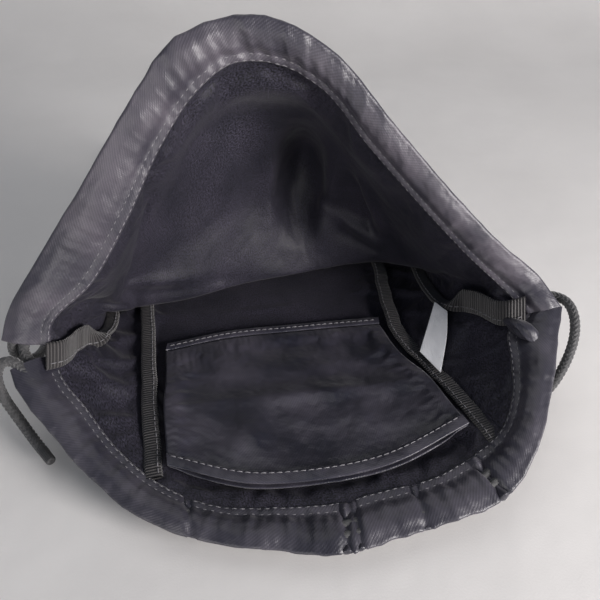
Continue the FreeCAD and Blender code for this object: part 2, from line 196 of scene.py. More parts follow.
def smooth_line(points, count):
    """count points spread evenly along a smooth line through the given points."""
    points = np.asarray(points, float)
    knots = arc_lengths(points)
    if len(points) > 2:
        slopes = np.gradient(points, knots, axis=0)
    else:
        slopes = np.repeat((points[1:] - points[:1]) / knots[-1], 2, axis=0)
    along = np.linspace(0.0, knots[-1], 24 * len(points))
    k = np.clip(np.searchsorted(knots, along, side="right") - 1, 0, len(points) - 2)
    span = (knots[k + 1] - knots[k])[:, None]
    s = (along - knots[k])[:, None] / span
    line = ((2 * s**3 - 3 * s**2 + 1) * points[k] + (s**3 - 2 * s**2 + s) * span * slopes[k]
            + (3 * s**2 - 2 * s**3) * points[k + 1] + (s**3 - s**2) * span * slopes[k + 1])
    length = arc_lengths(line)
    return read_off(np.linspace(0.0, length[-1], count), length, line)


def smooth_sheet(rows, step=SHEET_STEP):
    """A grid of points about step apart on a smooth sheet through rows of points."""
    width = max(arc_lengths(np.asarray(row, float))[-1] for row in rows)
    columns = int(width / step) + 2
    across = np.array([smooth_line(row, columns) for row in rows])
    length = max(arc_lengths(across[:, j])[-1] for j in range(0, columns, 8))
    count = int(length / step) + 2
    return np.stack([smooth_line(across[:, j], count) for j in range(columns)], axis=1)


def unit(vectors):
    return vectors / np.maximum(np.linalg.norm(vectors, axis=-1, keepdims=True), 1e-9)


def grid_normals(grid):
    return unit(np.cross(np.gradient(grid, axis=1), np.gradient(grid, axis=0)))


def angles_round(count):
    return np.linspace(0, 2 * math.pi, count, endpoint=False)


def ease(value):
    """0 to 1 with soft ends."""
    value = np.clip(value, 0.0, 1.0)
    return value * value * (3 - 2 * value)


def fold(grid, line, height, width):
    """Raises a soft crest, or with a negative height presses a crease, along a line on a sheet.

    It fades out towards both ends of the line.
    """
    line = smooth_line(line, 80)
    points = grid.reshape(-1, 3)
    gaps = np.linalg.norm(points[:, None] - line[None], axis=2)
    nearest = gaps.argmin(axis=1)
    distance = gaps.min(axis=1)
    along = nearest / (len(line) - 1)
    fade = np.clip(np.sin(math.pi * along), 0, 1) ** 0.8
    rise = height * fade * np.exp(-(distance / width) ** 2)
    return (points + grid_normals(grid).reshape(-1, 3) * rise[:, None]).reshape(grid.shape)


def folded(grid, folds):
    for line, height, width in folds:
        grid = fold(grid, line, height, width)
    return grid


def ripples(position, across, seed, lengths=(7.0, 11.0, 19.0), slant=0.25):
    """Uneven sharp-crested waves along a line, about -1 to 1, that lean as they cross it."""
    dice = np.random.default_rng(seed)
    total = np.zeros(np.broadcast(position, across).shape)
    for length in lengths:
        lean = slant * dice.uniform(-1.0, 1.5)
        phase = dice.uniform(0, 2 * math.pi)
        drift = 1.3 * np.sin(position / (3.1 * length) + dice.uniform(0, 6))
        swell = 0.6 + 0.4 * np.sin(position / (2.3 * length) + dice.uniform(0, 6))
        wave = math.pi * position / length + lean * across + phase + drift
        total = total + swell * (1.3 - 2.6 * np.abs(np.sin(wave)) ** 0.8)
    return total / len(lengths)


# --- Meshes ---

def add_object(name, data, materials=()):
    """A new object in the scene; a mesh, which comes with its materials, is shaded smooth."""
    for material in materials:
        data.materials.append(material)
    if materials:
        data.polygons.foreach_set("use_smooth", np.ones(len(data.polygons), bool))
    thing = bpy.data.objects.new(name, data)
    bpy.context.scene.collection.objects.link(thing)
    return thing


def grid_piece(name, grid, materials, around=False):
    """A mesh over a grid of points in millimetres; its UVs are real distances in metres."""
    n, m = grid.shape[:2]
    columns = m if around else m - 1
    i, j = np.meshgrid(np.arange(n - 1), np.arange(columns), indexing="ij")
    beside = (j + 1) % m
    faces = np.stack([i * m + j, i * m + beside, (i + 1) * m + beside, (i + 1) * m + j], axis=-1)
    mesh = bpy.data.meshes.new(name)
    mesh.from_pydata(in_frame(grid).reshape(-1, 3).tolist(), [], faces.reshape(-1, 4).tolist())
    closed = np.concatenate([grid, grid[:, :1]], axis=1) if around else grid
    u = np.mean([arc_lengths(row) for row in closed[:: max(1, n // 12)]], axis=0) * MM
    v = np.mean([arc_lengths(grid[:, k]) for k in range(0, m, max(1, m // 12))], axis=0) * MM
    corners = np.stack([np.stack([u[j], u[j + 1], u[j + 1], u[j]], axis=-1),
                        np.stack([v[i], v[i], v[i + 1], v[i + 1]], axis=-1)], axis=-1)
    mesh.uv_layers.new(name="cloth").data.foreach_set("uv", corners.reshape(-1))
    return add_object(name, mesh, materials)


def settle(piece):
    """Makes a piece's mesh what its modifiers show."""
    shown = piece.evaluated_get(bpy.context.evaluated_depsgraph_get())
    mesh = bpy.data.meshes.new_from_object(shown)
    piece.modifiers.clear()
    piece.data = mesh


def coordinates(mesh):
    points = np.empty(3 * len(mesh.vertices))
    mesh.vertices.foreach_get("co", points)
    return points.reshape(-1, 3)


CRUMPLE_FRAMES = 16       # steps of the cloth simulation


def crumple(piece, held, growth, cap):
    """Lets a sheet buckle between its sewn edges, as cloth larger than its outline by the share growth.

    No point moves further than cap millimetres.
    """
    group = piece.vertex_groups.new(name="sewn")
    held = held.reshape(-1)
    for weight in np.unique(np.round(held, 1)):
        members = np.flatnonzero(np.round(held, 1) == weight)
        group.add(members.tolist(), float(weight), "REPLACE")
    start = coordinates(piece.data)
    modifier = piece.modifiers.new("cloth", "CLOTH")
    cloth = modifier.settings
    cloth.vertex_group_mass = "sewn"
    cloth.shrink_min = -growth
    cloth.quality = 5
    cloth.mass = 0.05
    cloth.tension_stiffness = cloth.compression_stiffness = 20
    cloth.shear_stiffness = 6
    cloth.bending_stiffness = 0.15
    cloth.effector_weights.gravity = 0.2
    modifier.collision_settings.use_collision = False
    modifier.point_cache.frame_end = CRUMPLE_FRAMES
    scene = bpy.context.scene
    for number in range(1, CRUMPLE_FRAMES + 1):
        scene.frame_set(number)
    shown = piece.evaluated_get(bpy.context.evaluated_depsgraph_get())
    moved = coordinates(shown.data) - start
    far = np.linalg.norm(moved, axis=1, keepdims=True)
    moved *= cap * MM * np.tanh(far / (cap * MM)) / np.maximum(far, 1e-9)
    piece.modifiers.clear()
    piece.vertex_groups.clear()
    ends = start + moved
    ends[:, 2] = np.maximum(ends[:, 2], FLOOR * MM)
    piece.data.vertices.foreach_set("co", ends.reshape(-1))
    piece.data.update()
    scene.frame_set(1)


def round_off(piece):
    """One step of subdivision."""
    rounding = piece.modifiers.new("round", "SUBSURF")
    rounding.levels = rounding.render_levels = 1


def thicken(piece, thickness=CLOTH, offset=0.0):
    """Gives a sheet its thickness; the second material is on the side away from its normals."""
    round_off(piece)
    body = piece.modifiers.new("thick", "SOLIDIFY")
    body.thickness = thickness * MM
    body.offset = offset
    body.material_offset = len(piece.data.materials) - 1
    settle(piece)


def sewn_borders(grid, reach, loose=()):
    """1 on a sheet's sewn borders, down to 0 at reach millimetres inside; loose borders are left free."""
    n, m = grid.shape[:2]
    middle_row, middle_column = grid[n // 2], grid[:, m // 2]
    across, along = arc_lengths(middle_row), arc_lengths(middle_column)
    gaps = {"left": across[None, :], "right": (across[-1] - across)[None, :],
            "mouth": along[:, None], "end": (along[-1] - along)[:, None]}
    held = np.zeros((n, m))
    for side, gap in gaps.items():
        if side not in loose:
            held = np.maximum(held, ease(1 - np.broadcast_to(gap, (n, m)) / reach))
    return held


def swept(name, line, side, normal, outline, materials, body):
    """A closed outline of (side, normal) offsets carried along a line of points."""
    rings = [line + side * a + normal * b for a, b in outline]
    piece = grid_piece(name, np.stack(rings, axis=1), materials, around=True)
    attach(piece, body)
    return piece


def oval(width, thickness):
    """A flattened ring, from 0 to width on one axis and about 0 on the other."""
    angles = angles_round(16)
    x = np.sign(np.cos(angles)) * np.abs(np.cos(angles)) ** 0.6
    z = np.sign(np.sin(angles)) * np.abs(np.sin(angles)) ** 0.6
    return [(width / 2 * (1 + a), thickness / 2 * b) for a, b in zip(x, z)]


# --- Materials ---

def set_inputs(node, values):
    for key, value in values.items():
        node.inputs[key].default_value = value


class Surface:
    """A node material on the pieces' cloth UVs, with helpers for its pattern and relief."""

    def __init__(self, name, roughness, sheen=0.0, specular=0.5, coat=0.0):
        self.material = bpy.data.materials.new(name)
        self.material.use_nodes = True
        self.nodes = self.material.node_tree.nodes
        self.links = self.material.node_tree.links
        self.shader = self.nodes["Principled BSDF"]
        set_inputs(self.shader, {"Roughness": roughness, "Sheen Weight": sheen, "Sheen Roughness": 0.45,
                                 "Specular IOR Level": specular, "Coat Weight": coat,
                                 "Coat Roughness": 0.35})
        self.millimetres = self.add("ShaderNodeVectorMath", {"Scale": 1000.0}, operation="SCALE")
        self.join(self.add("ShaderNodeTexCoord").outputs["UV"], self.millimetres.inputs[0])

    def add(self, kind, values=(), **settings):
        node = self.nodes.new(kind)
        for key, value in settings.items():
            setattr(node, key, value)
        set_inputs(node, dict(values))
        return node

    def join(self, out, into):
        self.links.new(out, into)

    def turned(self, degrees):
        """The cloth's millimetres, turned so that bands run at an angle to the threads."""
        turn = self.add("ShaderNodeMapping")
        turn.inputs["Rotation"].default_value[2] = math.radians(degrees)
        self.join(self.millimetres.outputs[0], turn.inputs["Vector"])
        return turn.outputs[0]

    def noise(self, size, detail=3.0):
        """Blotches about size millimetres across."""
        node = self.add("ShaderNodeTexNoise", {"Scale": 1.0 / size, "Detail": detail})
        self.join(self.millimetres.outputs[0], node.inputs["Vector"])
        return node.outputs["Fac"]

    def bands(self, pitch, degrees, uneven=0.4):
        """Lines a pitch apart, in millimetres, at an angle across the cloth."""
        values = {"Scale": math.pi / (10 * pitch), "Distortion": uneven, "Detail Scale": 2.0}
        node = self.add("ShaderNodeTexWave", values, wave_type="BANDS", bands_direction="X")
        self.join(self.turned(degrees), node.inputs["Vector"])
        return node.outputs["Fac"]

    def colour(self, pattern, dark, light, low=0.3, high=0.7):
        """From dark where the pattern is low to light where it is high."""
        ramp = self.add("ShaderNodeValToRGB")
        for stop, place, tone in zip(ramp.color_ramp.elements, (low, high), (dark, light)):
            stop.position = place
            stop.color = (*tone, 1)
        self.join(pattern, ramp.inputs["Fac"])
        return ramp.outputs["Color"]

    def tinted(self, base, pattern, amount):
        """base, made darker and lighter by a pattern."""
        blend = self.add("ShaderNodeMix", data_type="RGBA", blend_type="OVERLAY")
        set_inputs(blend, {"Factor": amount})
        self.join(base, blend.inputs["A"])
        self.join(pattern, blend.inputs["B"])
        return blend.outputs["Result"]

    def steeper(self, pattern):
        """The same pattern with its middle range stretched to 0 to 1."""
        node = self.add("ShaderNodeMapRange", {"From Min": 0.36, "From Max": 0.64})
        self.join(pattern, node.inputs["Value"])
        return node.outputs["Result"]

    def rough(self, pattern, low, high):
        """Lets the roughness follow a pattern."""
        node = self.add("ShaderNodeMapRange", {"To Min": low, "To Max": high})
        self.join(pattern, node.inputs["Value"])
        self.join(node.outputs["Result"], self.shader.inputs["Roughness"])

    def relief(self, *layers):
        """Bumps of (pattern, height in millimetres), one over the other."""
        before = None
        for pattern, height in layers:
            node = self.add("ShaderNodeBump", {"Strength": 1.0, "Distance": height * MM})
            self.join(pattern, node.inputs["Height"])
            if before:
                self.join(before, node.inputs["Normal"])
            before = node.outputs["Normal"]
        self.join(before, self.shader.inputs["Normal"])

    def paint(self, colour):
        """The finished material, with this colour."""
        self.join(colour, self.shader.inputs["Base Color"])
        return self.material


def satin_nylon(name, dark, light, roughness=(0.34, 0.52)):
    """Outside of the bag: fine twill lines, a satin sheen, soft dents and dull patches of handling, whose
    lighter and darker colour is painted sheen.
    """
    surface = Surface(name, 0.4, sheen=0.15, specular=0.6)
    twill = surface.bands(1.0, 38)
    threads = surface.bands(0.8, 90, 1.0)
    painted_sheen_and_tone = surface.noise(30, 3)
    crinkle = surface.noise(5, 4)
    # The patches' lighter and darker colour is painted sheen; their roughness is the cloth's own.
    base = surface.colour(painted_sheen_and_tone, dark, light, 0.40, 0.60)
    base = surface.tinted(base, twill, 0.18)
    surface.rough(painted_sheen_and_tone, *roughness)
    surface.relief((surface.noise(36, 1), 5.0), (surface.noise(13, 2), 1.7), (crinkle, 0.42),
                   (twill, 0.03), (threads, 0.02))
    return surface.paint(base)


def coated_lining():
    """Inside of the bag: the same cloth's coated back, duller and grainy."""
    surface = Surface("lining", 0.6, sheen=0.08, specular=0.4)
    grain = surface.steeper(surface.noise(0.75, 2))
    painted_sheen_and_tone = surface.noise(30, 4)
    crinkle = surface.noise(6, 4)
    base = surface.colour(painted_sheen_and_tone, (0.011, 0.0105, 0.018), (0.028, 0.025, 0.038))
    base = surface.tinted(base, grain, 0.9)
    surface.rough(grain, 0.46, 0.68)
    surface.relief((surface.noise(24, 2), 1.8), (crinkle, 0.2), (grain, 0.045),
                   (surface.bands(1.1, 0, 1.0), 0.03))
    return surface.paint(base)


def ribbed_tape():
    """Grosgrain binding with ribs across it and blotches of wear."""
    surface = Surface("tape", 0.62, sheen=0.2, specular=0.35)
    rib_relief_and_painted_shade = surface.bands(1.5, 90, 0.3)
    wear = surface.noise(7, 4)
    # The ribs also set the colour, dark in the grooves and light on the crests: painted shade and highlight
    # over their relief.
    base = surface.colour(rib_relief_and_painted_shade, (0.016, 0.015, 0.016), (0.075, 0.069, 0.068), 0.15, 0.9)
    base = surface.tinted(base, wear, 0.35)
    surface.relief((rib_relief_and_painted_shade, 0.45), (surface.noise(0.7), 0.1))
    return surface.paint(base)


def cord_braid():
    """Dark grey yarn with fine fibres; the strands themselves are modelled."""
    surface = Surface("braid", 0.55, sheen=0.3, specular=0.4)
    fibres = surface.bands(0.5, 30, 1.5)
    base = surface.colour(surface.noise(3, 4), (0.040, 0.040, 0.042), (0.078, 0.077, 0.078))
    base = surface.tinted(base, fibres, 0.4)
    surface.relief((fibres, 0.08))
    return surface.paint(base)


def sealed_end():
    """Pressed and melted braid: smoother than the cord, with its fibres still showing."""
    surface = Surface("sealed_end", 0.42, specular=0.45, coat=0.1)
    base = surface.colour(surface.noise(2.5, 3), (0.030, 0.030, 0.032), (0.060, 0.059, 0.060))
    surface.relief((surface.noise(1.6, 3), 0.25), (surface.bands(0.7, 0, 1.0), 0.12))
    return surface.paint(base)


def label_satin():
    """White woven ribbon."""
    surface = Surface("label_satin", 0.42, sheen=0.3, specular=0.45)
    threads = surface.bands(0.45, 90, 0.6)
    base = surface.colour(surface.noise(12, 3), (0.88, 0.88, 0.90), (0.97, 0.97, 0.98))
    base = surface.tinted(base, threads, 0.12)
    surface.relief((surface.noise(5, 3), 0.5), (threads, 0.04))
    return surface.paint(base)


def sewing_thread():
    """Twisted grey thread, paler than the cloth that it runs through."""
    surface = Surface("thread", 0.5, sheen=0.2, specular=0.45)
    base = surface.colour(surface.noise(4, 2), (0.15, 0.145, 0.155), (0.26, 0.25, 0.265))
    surface.relief((surface.bands(0.4, 35), 0.06))
    return surface.paint(base)


def table_cloth():
    """The pale matt cloth that the bag lies on."""
    surface = Surface("table_cloth", 0.85, sheen=0.1, specular=0.2)
    base = surface.colour(surface.noise(140, 4), (0.73, 0.71, 0.69), (0.79, 0.77, 0.75))
    surface.relief((surface.noise(60, 3), 1.2), (surface.noise(1.0, 2), 0.06))
    return surface.paint(base)


SHELL = satin_nylon("shell_nylon", (0.032, 0.031, 0.045), (0.056, 0.051, 0.068))
HEM = satin_nylon("hem_nylon", (0.038, 0.035, 0.048), (0.084, 0.075, 0.092))
# The front hem is the back hem's cloth made darker: painted shade for the shade that lies on it at the
# front.
SHADED_FRONT_HEM = satin_nylon("shaded_front_hem_nylon", (0.020, 0.019, 0.029), (0.050, 0.046, 0.060))
# The pocket is the shell's cloth made darker: painted shade for the shadow of the tent over it.
SHADED_POCKET_SATIN = satin_nylon("shaded_pocket_satin", (0.014, 0.014, 0.024), (0.048, 0.044, 0.060), (0.28, 0.44))
LINING = coated_lining()
TAPE = ribbed_tape()
BRAID = cord_braid()
SEALED = sealed_end()
LABEL = label_satin()
THREAD = sewing_thread()


# --- Cords ---

def route_line(name, route):
    """Points in metres, evenly along the smooth spline that a cord's route controls."""
    curve = bpy.data.curves.new(name + "_route", "CURVE")
    curve.dimensions = "3D"
    curve.resolution_u = 24
    spline = curve.splines.new("NURBS")
    spline.points.add(len(route) - 1)
    for point, place in zip(spline.points, in_frame(route)):
        point.co = (*place, 1.0)
    spline.order_u = 3
    spline.use_endpoint_u = True
    guide = add_object(name + "_route", curve)
    mesh = bpy.data.meshes.new_from_object(guide)
    points = coordinates(mesh)
    bpy.data.objects.remove(guide)
    bpy.data.meshes.remove(mesh)
    length = arc_lengths(points)
    return read_off(np.linspace(0, length[-1], int(length[-1] / (CORD_STEP * MM)) + 2), length, points)


def steady_frames(line):
    """A side and an up direction at each point of a line, turning as little as they can."""
    ways = unit(np.gradient(line, axis=0))
    side = unit(np.cross(ways[0], (0.3, 0.2, 1.0)))
    sides = []
    for way in ways:
        side = unit(side - way * side.dot(way))
        sides.append(side)
    sides = np.array(sides)
    return sides, np.cross(ways, sides)


CHEVRONS = 4              # how often the strands of a braid change their lean and back, going round
CASED_CORD = 4.0          # diameter of a cord pressed in its casing
CASED_APART = 2.4         # from the line between a casing's two cords to each of them
CASED_SHIFT = 1.2         # of that line towards the mouth edge, where the casing is full
KNOT_CORD = 4.4           # and where a knot pulls it tight
KNOT_BEHIND = 5.8         # from the end of a cord's route to the middle of its knot
KNOT_SCALE = 1.35


def braided_tube(name, line, diameter, body, around=40, pitch=2.3):
    """A round braid along a line in metres: columns of strands that lean one way and then the other."""
    sides, ups = steady_frames(line)
    angle = angles_round(around)[None, :]
    lean = np.abs((angle * CHEVRONS / math.pi) % 2 - 1)
    strand = 0.5 + 0.5 * np.cos(2 * math.pi * (arc_lengths(line)[:, None] / (pitch * MM) + 0.85 * lean))
    column = 1 - 0.35 * (2 * np.abs(lean - 0.5)) ** 4
    radius = diameter / 2 * MM * (0.82 + 0.20 * strand ** 0.6 * column)
    ring = (sides[:, None] * np.cos(angle)[..., None] + ups[:, None] * np.sin(angle)[..., None])
    grid = (line[:, None] + ring * radius[..., None]) / MM - TO_FRAME
    piece = grid_piece(name, grid, [BRAID], around=True)
    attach(piece, body)
    return piece


def free_cord(name, route, body, with_pieces):
    """A cord outside the casings; with_pieces, what is fixed to its far end, is not used."""
    line = route_line(name, route)
    piece = braided_tube(name + "_braid", line, CORD, body)
    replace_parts(piece, name)


# Steps past the end of the braid, and the radius there
SEALED_END_PROFILE = [(-1.5, 2.2), (-0.5, 2.45), (2, 2.5), (4, 2.35), (7, 2.4), (8.3, 2.3), (8.9, 1.7),
                      (9.0, 0.02)]


def tail_end():
    """The blunt sealed end of the loose cord, a little narrower where the braid was pressed."""
    before, end = np.array(LEFT_TAIL_ROUTE[-2:], float)
    way = unit(end - before)
    side = unit(np.cross(way, (0, 0, 1)))
    up = np.cross(side, way)
    angles = angles_round(24)
    rings = [[end + way * along + (side * math.cos(a) + up * math.sin(a)) * radius for a in angles]
             for along, radius in SEALED_END_PROFILE]
    piece = grid_piece("cord_sealed_end", np.array(rings), [SEALED], around=True)
    round_off(piece)
    settle(piece)
    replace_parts(piece, "left_cord_tip")
    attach(piece, "cord_tail")
    return piece


def overhand_knot(name, route):
    """The stopper knot behind a corner loop: one cord wound through itself."""
    before, end = np.array(route[-2:], float)
    way = unit(end - before)
    middle = end + way * KNOT_BEHIND
    t = angles_round(160)
    trefoil = np.stack([np.sin(t) + 2 * np.sin(2 * t), -np.sin(3 * t),
                        np.cos(t) - 2 * np.cos(2 * t)], axis=1)
    line = in_frame(middle + KNOT_SCALE * trefoil)
    line = np.concatenate([line, line[:2]])
    piece = braided_tube(name + "_wound", line, KNOT_CORD, "root")
    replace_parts(piece, name)
    return piece


def add_cords():
    free_cord("left_cord_tail", LEFT_TAIL_ROUTE, "cord_tail", [tail_end()])
    for name, route, length, knot_name in (
            ("left_cord_strap", LEFT_STRAP_ROUTE, LEFT_STRAP_LENGTH, "left_strap_knot"),
            ("right_cord_strap", RIGHT_STRAP_ROUTE, RIGHT_STRAP_LENGTH, "right_strap_knot")):
        free_cord(name, route, "root", [overhand_knot(knot_name, route)])
    for name, route in (("left_corner_crossing", LEFT_CROSSING_ROUTE),
                        ("right_corner_crossing", RIGHT_CROSSING_ROUTE)):
        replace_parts(braided_tube(name + "_braid", route_line(name, route), CORD, "root"), name)


# --- Stitching ---

# One stitch: how far along it, the thread's share of its full radius, and its height above the cloth
STITCH_PROFILE = [(0.0, 0.3, -0.35), (0.12, 0.9, 0.05), (0.5, 1.0, 0.22), (0.88, 0.9, 0.05),
                  (1.0, 0.3, -0.35)]
THREAD_SIDES = 6


def stitches(name, line, normals, body):
    """A row of short threads lying along a line of points, each sunk at its two ends."""
    total = arc_lengths(line)
    starts = np.arange(STITCH_PITCH / 2, total[-1] - STITCH, STITCH_PITCH)
    angles = angles_round(THREAD_SIDES)
    points, faces, uvs = [], [], []
    for start in starts:
        first = len(points)
        for share, width, lift in STITCH_PROFILE:
            place = start + share * STITCH
            at = read_off(place, total, line)
            up = unit(read_off(place, total, normals))
            side = unit(np.cross(read_off(place + 0.3, total, line) - at, up))
            for angle in angles:
                points.append(at + up * (lift + THREAD_RADIUS * width * math.sin(angle))
                              + side * (THREAD_RADIUS * width * math.cos(angle)))
                uvs.append((place * MM, angle * THREAD_RADIUS * MM))
        for ring in range(first, len(points) - THREAD_SIDES, THREAD_SIDES):
            for k in range(THREAD_SIDES):
                a, b = ring + k, ring + (k + 1) % THREAD_SIDES
                faces.append((a, b, b + THREAD_SIDES, a + THREAD_SIDES))
        faces.append(tuple(range(first + THREAD_SIDES - 1, first - 1, -1)))
        faces.append(tuple(range(len(points) - THREAD_SIDES, len(points))))
    mesh = bpy.data.meshes.new(name)
    mesh.from_pydata(in_frame(points).tolist(), [], faces)
    layer = mesh.uv_layers.new(name="cloth")
    corners = np.empty(len(mesh.loops), int)
    mesh.loops.foreach_get("vertex_index", corners)
    layer.data.foreach_set("uv", np.array(uvs)[corners].reshape(-1))
    piece = add_object(name, mesh, [THREAD])
    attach(piece, body)


# --- Casings ---

# Half the depth of a casing at shares of its width, from the mouth edge to the stitch line
CASING_PROFILE = [(0.0, 0.15), (0.02, 0.6), (0.06, 0.95), (0.13, 1.5), (0.22, 2.4), (0.34, 2.9),
                  (0.47, 2.75), (0.57, 2.7), (0.66, 1.9), (0.73, 1.0), (0.78, 0.6), (0.82, 0.45),
                  (0.88, 0.65), (0.95, 0.5), (1.0, 0.3)]
STITCH_ROWS = (0.82, 0.97)
HEM_ALLOWANCE = 0.8       # how far the cloth goes past the mouth edge and the stitch line


def casing_cloth(name, cloth, mouth_edge, stitch_line, body, seed, gathers, creases=()):
    """A hem folded into a channel: full over the cords, flat and double-stitched along its edge.

    gathers are the heights of its wrinkles at shares of its length.  creases are single dents across it:
    (x at the mouth edge, depth, width, lean).
    """
    length = arc_lengths(np.asarray(mouth_edge, float))[-1]
    count = int(length / HEM_STEP)
    mouth, stitch = smooth_line(mouth_edge, count), smooth_line(stitch_line, count)
    mouth += unit(mouth - stitch) * HEM_ALLOWANCE
    stitch += unit(stitch - mouth) * HEM_ALLOWANCE
    along = arc_lengths(mouth)
    tangent = unit(np.gradient((mouth + stitch) / 2, axis=0))
    through = unit(np.cross(tangent, stitch - mouth))
    shares = [s for s, _ in CASING_PROFILE] + [s for s, _ in CASING_PROFILE[-2:0:-1]]
    depths = [d for _, d in CASING_PROFILE] + [-d for _, d in CASING_PROFILE[-2:0:-1]]
    gather = np.interp(along / along[-1], *zip(*gathers))
    grid = []
    for share, depth in zip(shares, depths):
        face = seed if depth > 0 else seed + 50
        wave = ripples(along, 20 * share * np.ones(count), face, (6.5, 9.5, 17.0), 0.16)
        pull = 0.35 + 0.65 * ease((share - 0.1) / 0.6) * (1 - 0.75 * ease((share - 0.7) / 0.12))
        offset = depth + np.sign(depth) * gather * pull * wave
        for x, size, width, lean in creases:
            centre = np.interp(x, mouth[:, 0], along) + lean * (share - 0.5)
            offset = offset - np.sign(depth) * size * np.exp(-((along - centre) / width) ** 2)
        ring = mouth + (stitch - mouth) * share + through * offset[:, None]
        swing = 0.5 * gather * ripples(along, np.zeros(count), seed + 9, (13.0, 29.0), 0)
        grid.append(ring + unit(mouth - stitch) * (swing * (1 - share))[:, None])
    grid = np.stack(grid, axis=1)
    grid[..., 2] = np.maximum(grid[..., 2], FLOOR)
    piece = grid_piece(name + "_cloth", grid, [cloth], around=True)
    thicken(piece, offset=-1.0)
    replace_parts(piece, name)
    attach(piece, body)
    top = len(CASING_PROFILE)
    for row in STITCH_ROWS:
        for face, columns in (("near", range(top)), ("far", [0, *range(len(shares) - 1, top - 2, -1)])):
            columns = list(columns)
            places = [shares[k] for k in columns]
            line = np.array([read_off(row, places, grid[i, columns]) for i in range(count)])
            way = through if face == "near" else -through
            stitches(f"{name}_stitches_{face}_{round(row * 100)}", line + way * THREAD_RADIUS, way, body)


def cased_cords(casing, mouth_edge, stitch_line, body):
    """The two cords lying side by side in a casing."""
    mouth, stitch = smooth_line(mouth_edge, 60), smooth_line(stitch_line, 60)
    for cord, side in (("left", -1), ("right", 1)):
        name = f"{cord}_cord_in_{casing}"
        middle = (mouth + stitch) / 2 + unit(stitch - mouth) * (CASED_APART * side - CASED_SHIFT)
        line = in_frame(smooth_line(middle, int(arc_lengths(middle)[-1] / 1.2)))
        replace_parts(braided_tube(name + "_braid", line, CASED_CORD, body, around=16, pitch=6.0), name)


# --- Panels ---

def towards(row, other, distance):
    """A row of points moved towards the matching points of another row, by one distance or one each."""
    row, other = np.asarray(row, float), np.asarray(other, float)
    return row + unit(other - row) * distance


def with_seams(row):
    """A row of the back panel, carried on to the side seams that it is sewn into."""
    ends = []
    for seam, point in ((SIDE_SEAM_LEFT, row[0]), (SIDE_SEAM_RIGHT, row[-1])):
        x, y, z = smooth_line(seam, 200).T
        at = np.clip(point[1], y[0], y[-1])
        ends.append((np.interp(at, y, x), at, np.interp(at, y, z) + 1.0))
    return [ends[0], *row, ends[1]]


UNDER_HEM = 1.5           # how far the panels run under the casings' stitching
PEAK_SHIFT = (0, -7, 2)   # of the fold's two highest points, towards the mouth
FOLD_SOFTNESS = (4, 4, 6, 15, 15, 9, 5, 4)        # rounding of the fold at each point of its row


def back_panel_rows():
    """From under the casing, over a fold that is sharp at the sides and soft at the peak, to the end."""
    stitch = towards(BACK_STITCH_LINE, BACK_MOUTH_EDGE, UNDER_HEM)
    top, wall = np.array(BACK_PANEL[0], float), BACK_PANEL[1]
    top[3:5] += PEAK_SHIFT
    halfway = (smooth_line(BACK_STITCH_LINE[1:-1], len(top)) + top) / 2
    softness = np.array(FOLD_SOFTNESS)[:, None]
    bend = [towards(top, halfway, softness), towards(top, wall, softness)]
    return [stitch, *(with_seams(row) for row in (halfway, *bend, *BACK_PANEL[1:]))]


def lengthwise_folds(grid, seed):
    """The slack of the closed end, lying in long soft folds that run towards its seam."""
    x, y = grid[..., 0], grid[..., 1]
    height = 4.5 * ease((y - 25) / 40) * (1 - 0.75 * ease((y - 120) / 50))
    edge = ease((x + 118) / 22) * ease((80 - x) / 22)
    lean = x + 0.12 * (y - 50) * np.sin(x / 35)
    waves = ripples(lean, y * 0.05, seed, (26.0, 41.0), 1.2) * 1.6
    out = grid.copy()
    out[..., 2] += height * edge * waves
    return out


# Folds as (line, height, width).  On the tent's wall a positive height is away from the mouth.
TENT_FOLDS = [
    ([(8, 8, 122), (6, 22, 90), (6, 30, 55), (4, 25, 26)], 17, 12),
    ([(-34, -6, 124), (-32, 8, 85), (-36, 12, 50), (-40, 2, 16)], -7, 24),
    ([(-16, 2, 118), (-14, 14, 85), (-16, 20, 55), (-14, 16, 24)], -4, 6),
    ([(27, 0, 104), (25, 20, 66), (21, 24, 30), (18, 18, 10)], -8, 7),
    ([(34, 2, 92), (45, 14, 62), (50, 19, 36)], 4.5, 4.5),
    ([(40, -2, 88), (54, 9, 58), (62, 14, 34)], -4.5, 5),
    ([(14, 26, 56), (34, 24, 44), (58, 14, 30)], -5, 4.5),
    ([(20, 26, 38), (44, 22, 30), (66, 14, 22)], 4, 4),
    ([(-94, -36, 34), (-62, -9, 27), (-30, 12, 26)], -3.5, 4.5),
    ([(-88, -32, 24), (-56, -8, 18), (-24, 8, 16)], 3, 4),
    ([(92, -32, 34), (78, -10, 28), (66, 8, 24)], -3, 5),
]
FRONT_FOLDS = [
    ([(-100, -30, 2), (5, -14, 1), (62, 6, 2)], 3.5, 8),
    ([(-70, -128, 4), (10, -132, 3), (88, -112, 6)], 1.6, 6),
    ([(-50, 20, 1), (-52, 80, 1), (-60, 150, 1)], 2.4, 9),
    ([(15, 30, 1), (12, 90, 1), (10, 150, 1)], 2.2, 8),
]
POCKET_FOLDS = [
    ([(-64, -101, 9), (5, -93, 8.5), (73, -82, 10)], 1.8, 5),
    ([(-64, -88, 8), (4, -80, 7), (66, -70, 8)], -1.4, 6),
    ([(-40, -138, 9), (-20, -120, 9), (-30, -100, 9)], 1.2, 7),
    ([(20, -142, 9), (34, -118, 9), (30, -96, 9)], 1.0, 8),
]


def back_panel_cloth():
    """The tent behind the mouth and the back of the bag down to its closed end."""
    grid = smooth_sheet(back_panel_rows())
    grid = lengthwise_folds(folded(grid, TENT_FOLDS), 31)
    piece = grid_piece("back_panel_cloth", grid, [SHELL, LINING])
    crumple(piece, sewn_borders(grid, 14), 0.07, 5)
    thicken(piece)
    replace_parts(piece, "back_panel", "back_panel_flap")
    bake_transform(piece)


